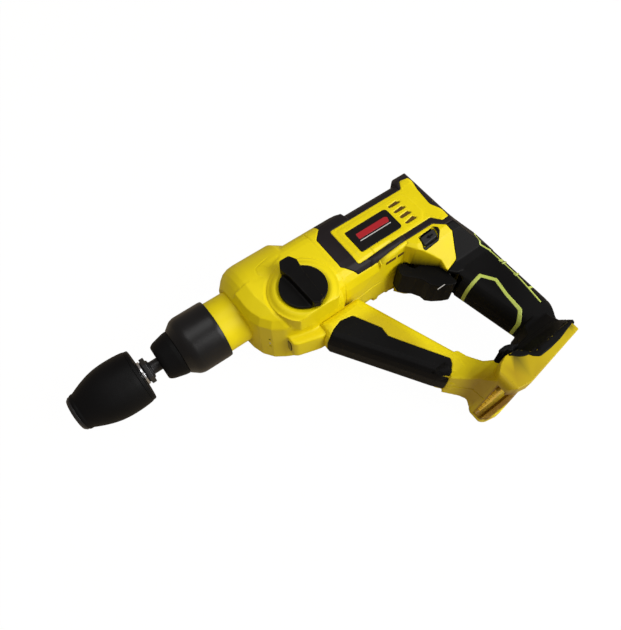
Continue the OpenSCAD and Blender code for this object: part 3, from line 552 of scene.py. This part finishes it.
def draped(name, outline, skin, material, slot, lift, holes=(), grid=1.0, thickness=0.8, rim=0.35, edge_lift=0.05):
    """A thin skin with a flat outline, laid over other pieces from the left side, its rim turned down."""
    form = bmesh.new()
    edges = []
    for loop in [softened(outline)] + [softened(hole) for hole in holes]:
        ring = [form.verts.new((p[0], p[1], 0.0)) for p in loop]
        edges += [form.edges.new((ring[k - 1], ring[k])) for k in range(len(ring))]
    bmesh.ops.triangle_fill(form, use_beauty=True, edges=edges)
    bmesh.ops.recalc_face_normals(form, faces=form.faces)
    if sum(face.normal.z for face in form.faces) < 0:
        bmesh.ops.reverse_faces(form, faces=form.faces)
    bmesh.ops.inset_region(form, faces=form.faces, thickness=rim, use_boundary=True, use_even_offset=False)
    for k, direction in ((0, (1, 0, 0)), (1, (0, 1, 0))):
        low, high = min(v.co[k] for v in form.verts), max(v.co[k] for v in form.verts)
        for step in range(1, int((high - low) / grid) + 1):
            cut = Vector(direction) * (low + step * grid)
            bmesh.ops.bisect_plane(form, geom=form.verts[:] + form.edges[:] + form.faces[:], dist=1e-5,
                                   plane_co=cut, plane_no=direction)
    for vert in form.verts:
        raise_by = edge_lift if vert.is_boundary else lift
        start, near = at(vert.co.x, vert.co.y, CLEAR_HEIGHT), at(vert.co.x, vert.co.y, SKIN_HEIGHT)
        hit = skin.ray_cast(start, Vector((0.0, 0.0, -1.0)))[0] or skin.find_nearest(near)[0]
        vert.co = Vector((start.x, start.y, hit.z + raise_by * MM))
    draw_out(form, (0.0, 0.0, -thickness))
    return add_piece(name, form, material, "housing_group", slot)


# A filler over the joint of gear cover and clamshell, so fine that the joint hardly shows.
draped("joint_filler", [(90.9, 17.0, 0), (90.9, -41.9, 0), (95.2, -41.9, 0), (95.2, 17.0, 0)],
       over(cover_shell, left_shell), YELLOW, "housing", lift=0.05, grid=2.4, thickness=0.4, rim=1.0, edge_lift=-0.12)


def slab(name, outline, material, body, slot, *nodes, low, high, round_off):
    """A flat plate from height low out to height high, both negative on the right side, with its outer rim
    rounded off."""
    form = bmesh.new()
    form.faces.new([form.verts.new(at(a, b, low)) for a, b in softened(outline)])
    draw_out(form, (0.0, 0.0, high - low))
    rim = [e for e in form.edges if all(abs(v.co.z - at(0, 0, high).z) < 1e-7 for v in e.verts)]
    bmesh.ops.bevel(form, geom=rim, offset=round_off * MM, offset_type="OFFSET", segments=3, profile=0.5,
                    affect="EDGES", material=-1, clamp_overlap=True)
    piece = add_piece(name, form, material, body, slot, *nodes)
    piece.modifiers.new("even_normals", "WEIGHTED_NORMAL").keep_sharp = True
    return piece


# Brown plates in the side vents: painted shade for the vents' shadowed insides.
VENT_SHADE_BROWN = coat("vent_mesh_brown", (0.12, 0.065, 0.008), (0.10, 0.06, 0.01), rough=0.6, rough_span=0.10,
                  grain=3000.0, depth=0.05, shine=0.2, tone_span=0.3)
for k, vent in enumerate(VENTS):
    slab("vent_mesh_%d" % k, [corner + (0.4,) for corner in vent], VENT_SHADE_BROWN, "housing_group", "dark_plastic",
         low=32.4, high=34.75, round_off=0.1)


def lofted(name, stations, material, slot, thickness):
    """A skin through (x, [(y, z), ...]) stations, its underside set thickness lower."""
    form = bmesh.new()
    bmesh.ops.create_grid(form, x_segments=len(stations) - 1, y_segments=len(stations[0][1]) - 1, size=1.0)
    places = [at(x, y, z) for x, line in stations for y, z in line]
    in_rows = sorted(form.verts, key=lambda vert: (round(vert.co.x, 3), round(vert.co.y, 3)))
    for vert, place in zip(in_rows, places, strict=True):
        vert.co = place
    draw_out(form, (0.0, 0.0, -thickness))
    return add_piece(name, form, material, "housing_group", slot)


def bar(name, section, start, end, material, slot):
    """A bar along X between start and end, with the given (y, z) section and eased edges."""
    form = bmesh.new()
    form.faces.new([form.verts.new(at(start, y, z)) for y, z in section])
    draw_out(form, (end - start, 0.0, 0.0))
    bmesh.ops.bevel(form, geom=form.edges[:], offset=0.2 * MM, offset_type="OFFSET", segments=2, profile=0.5,
                    affect="EDGES", material=-1, clamp_overlap=True)
    return add_piece(name, form, material, "housing_group", slot)


# The flank below the band, with brown bars of painted shade in its two low slots. Each station of the side gives x and
# the heights of the band's top, the band's foot, the flank's middle and the flank's foot.
SIDE = [
    (118.0, 32.9, 28.6, 26.8, 20.6), (122.0, 33.3, 29.6, 28.2, 24.2), (126.0, 33.8, 30.6, 29.6, 28.1),
    (135.0, 34.5, 32.4, 31.9, 30.4), (145.0, 35.2, 34.3, 34.0, 32.9), (152.0, 35.25, 35.25, 35.1, 34.7),
]
lofted("side_flank", [
    (x, [(-39.2, foot - dip), (-40.6, middle - dip), (-42.45, last - dip)])
    for (x, top, foot, middle, last), dip in zip(SIDE[2:], (0.5, 0.0, 0.0, 0.5))
], YELLOW, "housing", thickness=7.0)
for k, (start, end) in enumerate(((130.5, 140.1), (142.4, 149.2))):
    bar("slot_shade_bar_%d" % k, [(-42.9, 26.3), (-42.9, 23.0), (-42.0, 23.0), (-42.0, 26.3)], start, end,
        VENT_SHADE_BROWN, "dark_plastic")

# Short ribs under the foot's front edge, at an even pitch, in a brownish yellow that is painted shade.
FOOT_RIB_SHADE = coat("foot_rib_yellow", (0.50, 0.30, 0.010), (0.60, 0.45, 0.05), rough=0.5, rough_span=0.10,
                  grain=2600.0, depth=0.012, shine=0.26, tone_span=0.1)
RIB_PITCH = 8.4
for k in range(6):
    low, high = -22.0 + RIB_PITCH * k, -20.9 + RIB_PITCH * k
    bar("foot_rib_%d" % k, [(-162.9, low), (-165.4, low), (-165.4, high), (-162.9, high)], 126.2, 140.0,
        FOOT_RIB_SHADE, "housing")

# ---- soft skins ----
# Rubber moulded over the shells in a second shot: the band round the side panel, the handle's grip
# with its lime lines, the strut's pad, the grip's rear pads, the horn and the foot's black edge.
BLACK_RUBBER = coat("black_rubber", (0.0045, 0.0046, 0.0048), (0.022, 0.022, 0.022), rough=0.50, rough_span=0.14,
                    grain=1900.0, depth=0.03, shine=0.08, tone_span=0.2)
BAND_RUBBER = coat("band_rubber", (0.015, 0.0115, 0.013), (0.05, 0.045, 0.045), rough=0.50, rough_span=0.12,
                   grain=1900.0, depth=0.03, shine=0.16, tone_span=0.2)
LIME = coat("lime_line", (0.48, 0.58, 0.10), (0.60, 0.68, 0.26), rough=0.42, rough_span=0.10, grain=2600.0, depth=0.01)
bands, grips = {}, {}
for side in ("left", "right"):
    bands[side] = moulded(side + "_band_skin", side + "_band", BAND_RUBBER, "housing_group", "rubber", cell=0.55, passes=2)
    grips[side] = moulded(side + "_grip_skin", side + "_grip", BLACK_RUBBER, "housing_group", "rubber", cell=0.55, passes=2)
    moulded(side + "_line", side + "_accent", LIME, "housing_group", "lime_plastic", cell=0.35, passes=1)
lofted("band_strip", [
    (x, [(-34.3, top), (-36.8, 0.45 * top + 0.55 * foot + 0.35), (-39.3, foot + 0.12)])
    for x, top, foot, middle, last in SIDE
], BAND_RUBBER, "rubber", thickness=1.4)
TICK_LINE = ((208.8, 15.9), (211.5, 15.25), (214.6, 13.3))
for k, y in enumerate((-92.3, -105.8)):
    lofted("grip_tick_%d" % k, [(x, [(y + 0.7, z), (y, z + 0.1), (y - 0.7, z)]) for x, z in TICK_LINE],
           LIME, "lime_plastic", thickness=0.8)
moulded("strut_skin", "strut_pad", BLACK_RUBBER, "housing_group", "rubber", cell=0.55, passes=2)
moulded("rear_pad_set", "rear_pads", BLACK_RUBBER, "housing_group", "rubber", cell=0.45, passes=1)

# The band's rim at the top rear, which runs down behind the panel as a horn.
HORN = [
    (179.5, 2.2, 1.0), (184.8, 8.2, 1.5), (188.3, 8.8, 1.5), (194.0, 7.2, 2.0), (195.5, 4.2, 1.5), (193.8, 0.1, 2.0),
    (191.7, -5.7, 2.0), (190.4, -15.0, 3.0), (189.4, -24.3, 3.0), (192.0, -29.0, 2.0), (194.9, -33.3, 2.0),
    (194.0, -39.0, 2.0), (193.0, -44.1, 0.5), (199.0, -43.0, 1.0), (199.5, -30.0, 2.0), (196.0, -16.0, 3.0),
    (196.0, -5.0, 3.0), (199.5, 4.0, 2.0), (199.5, 10.5, 2.0), (193.0, 15.6, 3.0), (186.0, 12.6, 2.0), (181.0, 6.2, 1.5),
]
draped("horn_rim", HORN, over(left_shell, bands["left"]), BAND_RUBBER, "rubber", lift=0.3)

# The grip's skin ends in a wavy black edge over the battery foot, and closes the strut's lower end.
FOOT_EDGE = [
    (141.6, -149.4, 1.0), (142.8, -151.6, 0.8), (141.8, -153.2, 0.8), (143.4, -154.0, 0.8), (146.7, -157.4, 1.5),
    (149.2, -159.0, 1.0), (151.6, -159.9, 1.0), (153.4, -160.2, 1.0), (154.8, -162.8, 1.0), (158.6, -165.8, 1.5),
    (168.4, -165.8, 1.0), (179.6, -164.8, 1.0), (187.6, -163.1, 1.0), (196.6, -161.4, 1.5), (196.6, -151.0, 1.0),
    (160.0, -149.0, 1.0), (150.0, -145.0, 1.0), (144.0, -145.0, 1.0),
]
draped("foot_edge_skin", FOOT_EDGE, over(left_shell, grips["left"]), BLACK_RUBBER, "rubber", lift=0.7)
lofted("strut_end_skin", [
    (104.0, [(-127.0, 11.6), (-129.0, 9.6), (-131.0, 5.8), (-131.6, 3.0)]),
    (108.0, [(-127.0, 14.2), (-130.0, 13.7), (-132.6, 12.9), (-134.8, 8.8)]),
    (110.0, [(-127.0, 14.7), (-131.0, 14.0), (-134.0, 13.1), (-136.0, 11.0)]),
    (112.0, [(-127.0, 14.8), (-132.0, 14.3), (-134.6, 13.7), (-136.6, 13.2)]),
    (114.0, [(-127.0, 14.8), (-132.0, 14.7), (-134.0, 14.4), (-135.6, 14.3)]),
    (115.6, [(-127.0, 14.8), (-131.0, 14.8), (-132.6, 14.7), (-134.2, 14.6)]),
], BLACK_RUBBER, "rubber", thickness=1.2)

# ---- side labels ----
# A satin black plate on each side with two rounded corners, bare but for a plain red bar and a
# thin pale line on the left one.
PLATE = coat("label_plate", (0.009, 0.0085, 0.0085), (0.05, 0.05, 0.05), rough=0.36, rough_span=0.10,
             grain=1200.0, depth=0.006, shine=0.14, tone_span=0.15)
RED_INK = coat("red_ink", (0.42, 0.010, 0.018), (0.50, 0.05, 0.05), rough=0.38, rough_span=0.10, grain=1200.0, depth=0.006)
# Pale ink for the label's print; the same pale also paints a highlight on the trigger.
PALE_PRINT_AND_GLINT = coat("pale_print_and_glint", (0.55, 0.55, 0.54), (0.65, 0.65, 0.64), rough=0.38, rough_span=0.10, grain=1200.0, depth=0.006)
LABEL = [(117.0, -7.0, 0.7), (117.0, -28.3, 0.7), (157.4, -28.3, 3.2), (157.6, -6.8, 3.4)]
RED_BAR = [(123.0, -12.9, 0.8), (122.6, -18.2, 0.8), (151.8, -18.4, 0.8), (153.4, -14.4, 0.8), (151.5, -12.9, 0.8)]
PALE_LINE = [(122.3, -19.5, 0.2), (122.3, -20.3, 0.2), (152.3, -20.3, 0.2), (152.3, -19.5, 0.2)]
slab("left_label", LABEL, PLATE, "housing_group", "dark_plastic", "left_plate", low=34.3, high=35.7, round_off=0.35)
slab("right_label", LABEL, PLATE, "housing_group", "dark_plastic", "right_plate", low=-34.3, high=-35.7, round_off=0.35)
slab("red_bar", RED_BAR, RED_INK, "housing_group", "dark_plastic", low=35.5, high=35.76, round_off=0.08)
slab("pale_line", PALE_LINE, PALE_PRINT_AND_GLINT, "housing_group", "dark_plastic", low=35.5, high=35.76, round_off=0.06)

# ---- selector knob ----
# One black moulding that turns in its seat in the cover: a disc with a grip bar, whose wide end
# points at the chosen mode.
SMOOTH_BLACK = coat("smooth_black_plastic", (0.0042, 0.0042, 0.0042), (0.022, 0.022, 0.022), rough=0.38,
                    rough_span=0.12, grain=1500.0, depth=0.008, shine=0.10, tone_span=0.2)
moulded("knob", "mode_knob", SMOOTH_BLACK, "knob_body", "rubber", cell=0.45, passes=5)

# ---- tool holder ----
# A rubber dust cap closes the spindle's front. The satin black locking sleeve behind it slides
# back over the neck.
SATIN_BLACK = coat("satin_black_sleeve", (0.0055, 0.0056, 0.006), (0.03, 0.03, 0.03), rough=0.34, rough_span=0.10,
                   grain=1700.0, depth=0.015, shine=0.28, tone_span=0.2)
turned("dust_boot", [
    (-49.0, 5.7, 0.4), (-49.0, 13.4, 1.4), (-46.0, 15.4, 1.5), (-36.6, 17.8, 0.6),
    (-33.65, 18.1, 0.3), (-33.65, 8.6, 0.3), (-46.0, 8.6, 0.3), (-46.0, 5.7, 0.3),
], BLACK_RUBBER, "spindle_group", "rubber", "dust_cap")
turned("holder_sleeve", [
    (-33.5, 13.6, 0.3), (-33.5, 18.2, 0.7), (-27.6, 22.8, 2.0), (-24.0, 23.9, 2.4), (-2.4, 24.0, 1.0),
    (-0.1, 23.7, 0.4), (-0.1, 22.9, 0.2), (-17.0, 22.9, 0.3), (-17.0, 13.6, 0.3),
], SATIN_BLACK, "locking_sleeve_group", "rubber", "locking_sleeve")

# ---- chuck ----
# A keyless chuck on a shank adapter: a bullet-shaped black sleeve, a black disc at its rear, and a
# blackened steel body whose bright lip shows at the nose. A bright washer sits on the shank.
BLACK_OXIDE = coat("black_oxide_steel", (0.012, 0.012, 0.013), (0.10, 0.10, 0.10), rough=0.38, rough_span=0.12,
                   grain=1400.0, depth=0.008, shine=0.3, tone_span=0.2)
turned("chuck_grip", [
    (-112.5, 13.0, 0.3), (-112.5, 13.9, 0.4), (-111.3, 14.25, 0.4), (-109.9, 14.2, 0.6), (-107.0, 15.6, 1.5),
    (-102.0, 17.8, 2.0), (-96.0, 19.9, 2.5), (-90.5, 21.2, 2.5), (-83.5, 21.95, 3.0), (-75.5, 21.95, 3.0),
    (-69.5, 21.5, 2.0), (-66.5, 20.9, 0.3), (-66.5, 19.7, 0.3), (-93.3, 19.7, 0.3), (-94.5, 17.9, 0.3), (-104.1, 15.3, 0.5),
], BLACK_RUBBER, "chuck_sleeve_group", "rubber", "chuck_sleeve")
turned("chuck_rear_disc", [(-66.35, 6.5, 0.2), (-66.35, 20.7, 0.3), (-63.6, 20.3, 1.2), (-63.6, 6.5, 0.2)],
       BLACK_RUBBER, "adapter_group", "rubber", "chuck_back")
moulded("shank_bar", "adapter_shank", BLACK_OXIDE, "adapter_group", "dark_plastic", cell=0.4, passes=3)
turned("nose_ring", [
    (-115.0, 11.0, 0.2), (-115.0, 12.3, 0.3), (-114.0, 13.4, 0.5), (-112.7, 13.4, 0.2), (-112.7, 11.0, 0.2),
], BLACK_OXIDE, "adapter_group", "dark_plastic")
turned("nose_lip", [
    (-115.4, 10.9, 0.2), (-115.4, 11.7, 0.2), (-114.9, 12.2, 0.15), (-114.0, 12.2, 0.1), (-114.0, 10.9, 0.1),
], STEEL, "adapter_group", "steel")
turned("bright_washer", [(-63.2, 6.4, 0.1), (-63.2, 9.1, 0.35), (-61.4, 9.1, 0.35), (-61.4, 6.4, 0.1)],
       STEEL, "adapter_group", "steel", "shank_washer")

# ---- trigger ----
# A black nylon blade that slides back into the handle, with a painted highlight across its side: a thin pale line for a
# glint on its edge.
TRIGGER_GLINT = [(153.6, -78.5, 0.1), (153.6, -79.1, 0.1), (161.2, -79.1, 0.1), (161.2, -78.5, 0.1)]
moulded("trigger_blade", "trigger", SMOOTH_BLACK, "trigger_body", "dark_plastic", cell=0.4, passes=4)
slab("trigger_painted_glint", TRIGGER_GLINT, PALE_PRINT_AND_GLINT, "trigger_body", "dark_plastic", low=12.2, high=12.7, round_off=0.06)

# ---- direction lever ----
# One black block that slides through the body, with a grey button on each end. A black surround
# is moulded round the left one, and a small black arrow is set in it.
GREY_PLASTIC = coat("grey_plastic", (0.030, 0.031, 0.033), (0.08, 0.08, 0.08), rough=0.42, rough_span=0.10,
                    grain=1700.0, depth=0.01, shine=0.25, tone_span=0.12)
BUTTON = [(161.4, -44.3, 1.2), (175.3, -43.4, 1.2), (173.5, -49.9, 1.2), (159.8, -50.9, 1.2)]
ARROW = [
    (165.0, -47.2, 0.3), (168.2, -45.4, 0.3), (168.2, -46.6, 0.3), (171.6, -46.4, 0.3),
    (171.4, -47.8, 0.3), (168.2, -48.0, 0.3), (168.2, -49.2, 0.3),
]
SURROUND = [
    (158.7, -50.0, 0.8), (160.3, -42.8, 1.4), (176.6, -41.9, 1.4), (179.3, -44.6, 1.2),
    (178.2, -47.9, 1.2), (172.7, -53.4, 1.2), (158.8, -54.2, 1.2), (157.5, -52.5, 0.8),
]
HOLE = [(160.6, -43.3, 1.6), (176.4, -42.3, 1.6), (174.3, -50.9, 1.6), (158.7, -51.9, 1.6)]
moulded("lever_block", "direction_lever", SMOOTH_BLACK, "lever_body", "dark_plastic", cell=0.35, passes=1)
slab("left_button", BUTTON, GREY_PLASTIC, "lever_body", "dark_plastic", low=32.4, high=34.5, round_off=0.6)
slab("right_button", BUTTON, GREY_PLASTIC, "lever_body", "dark_plastic", low=-32.4, high=-34.5, round_off=0.6)
slab("button_mark", ARROW, SMOOTH_BLACK, "lever_body", "dark_plastic", low=34.4, high=34.7, round_off=0.1)
draped("button_surround", SURROUND, over(left_shell), SMOOTH_BLACK, "dark_plastic",
       lift=0.35, holes=[HOLE], grid=1.2, rim=0.25)

# ---- carried-over nodes ----
# The rest keeps its CAD shape: the hidden works, the screws and the jaws, each in its own metal or
# plastic. Two steel parts that show are blackened.
DARK_STEEL = coat("blackened_steel", (0.05, 0.05, 0.053), (0.30, 0.30, 0.31), rough=0.36, rough_span=0.14,
                  grain=1400.0, depth=0.01, metal=1.0)
ALLOY = coat("cast_alloy", (0.55, 0.56, 0.58), (0.68, 0.68, 0.69), rough=0.42, rough_span=0.12,
             grain=1800.0, depth=0.03, metal=1.0)
COPPER = coat("copper", (0.72, 0.36, 0.20), (0.85, 0.55, 0.38), rough=0.34, rough_span=0.12,
              grain=1600.0, depth=0.015, metal=1.0)
BRASS = coat("turned_brass", (0.72, 0.55, 0.26), (0.82, 0.68, 0.42), rough=0.30, rough_span=0.12,
             grain=1600.0, depth=0.01, metal=1.0)
LENS = coat("smoked_lens", (0.035, 0.022, 0.010), (0.10, 0.08, 0.06), rough=0.18, rough_span=0.06,
            grain=1200.0, depth=0.004, clear=0.4)
FINISH = {
    "housing": YELLOW, "rubber": BLACK_RUBBER, "dark_plastic": SMOOTH_BLACK, "lime_plastic": LIME, "steel": STEEL,
    "dark_steel": DARK_STEEL, "alloy": ALLOY, "windings": COPPER, "nut_brass": BRASS, "lamp": LENS,
}
DARKENED = ("chuck_body", "lock_ring")
slot_of = {part["node"]: part["material_slot"] for part in frame["record"]["subparts"]}
for name, node in frame["nodes"].items():
    for slot in node.material_slots:
        slot.material = BLACK_OXIDE if name in DARKENED else FINISH[slot_of[name]]
